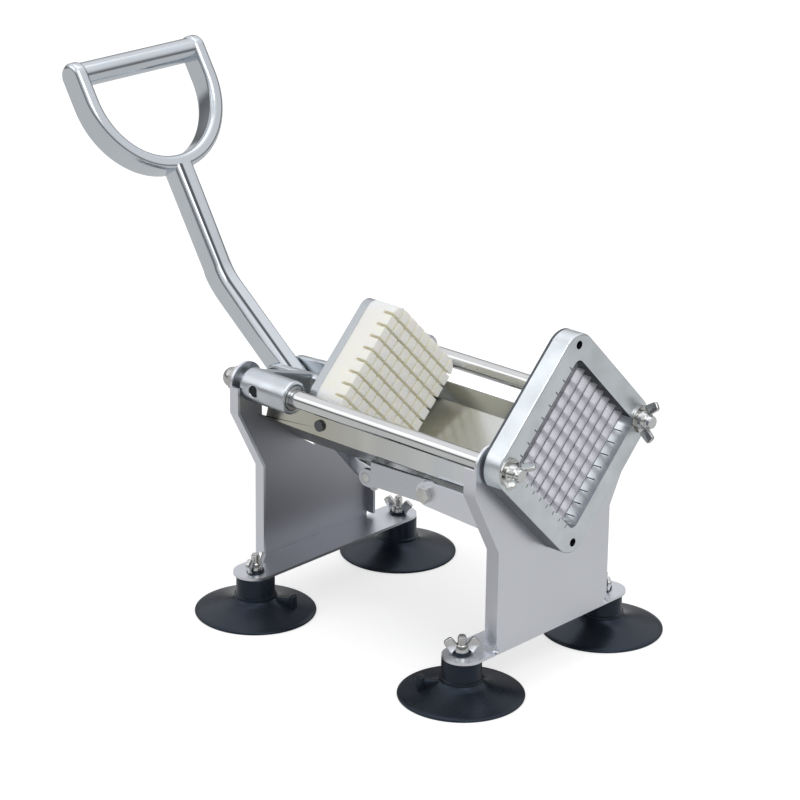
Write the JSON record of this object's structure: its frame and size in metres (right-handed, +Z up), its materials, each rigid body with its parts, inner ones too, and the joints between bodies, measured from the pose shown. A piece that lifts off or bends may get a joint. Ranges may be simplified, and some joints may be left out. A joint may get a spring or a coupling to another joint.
{
  "type": "french fry cutter",
  "caption": "Hand-lever french fry cutter: a lever slides a pegged block along two rods and drives a potato through a square blade grid; suction feet hold it down.",
  "frame": {"origin": "middle of the four suction feet, on the table plane", "axes": "+X towards the blade head along the guide rods, +Y across the machine, +Z up"},
  "size_m": [0.4407, 0.2314, 0.3545],
  "materials": {
    "satin_steel": "satin",
    "bright_steel": "polished",
    "cast_aluminium": "satin",
    "lever_steel": "polished satin",
    "link_steel": "satin",
    "blade_steel": "ground",
    "zinc": "zinc plated",
    "bush_metal": "machined",
    "white_plastic": "moulded",
    "black_rubber": "moulded"
  },
  "bodies": {
    "frame": {"rear_leg": "satin_steel", "front_leg": "satin_steel", "trough": "satin_steel", "trough_screws": "zinc", "guide_rods": "bright_steel", "rod_rear_nuts": "zinc", "suction_cups": "black_rubber", "cup_studs": "zinc", "cup_washers": "black_rubber", "head_back_plate": "satin_steel", "blade_holder": "cast_aluminium", "blades_front": "blade_steel", "blades_rear": "blade_steel", "head_washers": "zinc", "link_front_bolts": "zinc", "link_front_nuts": "zinc"},
    "carriage": {"carriage": "cast_aluminium", "rod_bushes": "bush_metal", "boss_screws": "zinc", "pusher_back_plate": "satin_steel", "pusher_block": "white_plastic", "pusher_studs": "zinc", "pusher_nuts": "zinc", "lever_pin": "zinc", "pin_clips": "zinc"},
    "lever": {"lever_bar": "lever_steel", "lever_sleeve": "zinc", "grip_frame": "lever_steel", "grip_bar": "lever_steel"},
    "links": {"link_near": "link_steel", "link_far": "link_steel", "link_rivets": "zinc"},
    "foot_nut_rear_near": {"foot_nut_rear_near": "zinc"},
    "foot_nut_rear_far": {"foot_nut_rear_far": "zinc"},
    "foot_nut_front_near": {"foot_nut_front_near": "zinc"},
    "foot_nut_front_far": {"foot_nut_front_far": "zinc"},
    "head_nut_near": {"head_nut_near": "zinc"},
    "head_nut_far": {"head_nut_far": "zinc"}
  },
  "joints": [
    {"name": "carriage_slide", "type": "slide", "parent": "frame", "child": "carriage", "axis": [1, 0, 0], "range_m": [0, 0.142]},
    {"name": "lever_hinge", "type": "hinge", "parent": "carriage", "child": "lever", "pos_m": [-0.1345, 0, 0.147], "axis": [0, 1, 0], "range_deg": [0, 73.59]},
    {"name": "link_hinge", "type": "hinge", "parent": "frame", "child": "links", "pos_m": [0.053, 0, 0.1275], "axis": [0, -1, 0], "range_deg": [0, 31.77]},
    {"name": "foot_nut_rear_near_spin", "type": "hinge", "parent": "frame", "child": "foot_nut_rear_near", "pos_m": [-0.096, -0.0732, 0.035], "axis": [0, 0, 1], "continuous": true},
    {"name": "foot_nut_rear_far_spin", "type": "hinge", "parent": "frame", "child": "foot_nut_rear_far", "pos_m": [-0.096, 0.0732, 0.035], "axis": [0, 0, 1], "continuous": true},
    {"name": "foot_nut_front_near_spin", "type": "hinge", "parent": "frame", "child": "foot_nut_front_near", "pos_m": [0.096, -0.0732, 0.035], "axis": [0, 0, 1], "continuous": true},
    {"name": "foot_nut_front_far_spin", "type": "hinge", "parent": "frame", "child": "foot_nut_front_far", "pos_m": [0.096, 0.0732, 0.035], "axis": [0, 0, 1], "continuous": true},
    {"name": "head_nut_near_spin", "type": "hinge", "parent": "frame", "child": "head_nut_near", "pos_m": [0.1286, -0.0667, 0.1648], "axis": [1, 0, 0], "continuous": true},
    {"name": "head_nut_far_spin", "type": "hinge", "parent": "frame", "child": "head_nut_far", "pos_m": [0.1286, 0.0667, 0.1648], "axis": [1, 0, 0], "continuous": true}
  ],
  "couplings": [
    {"joint": "lever_hinge", "follows": "carriage_slide", "rad_per_m": 9.0436},
    {"joint": "link_hinge", "follows": "carriage_slide", "rad_per_m": 3.9036}
  ]
}
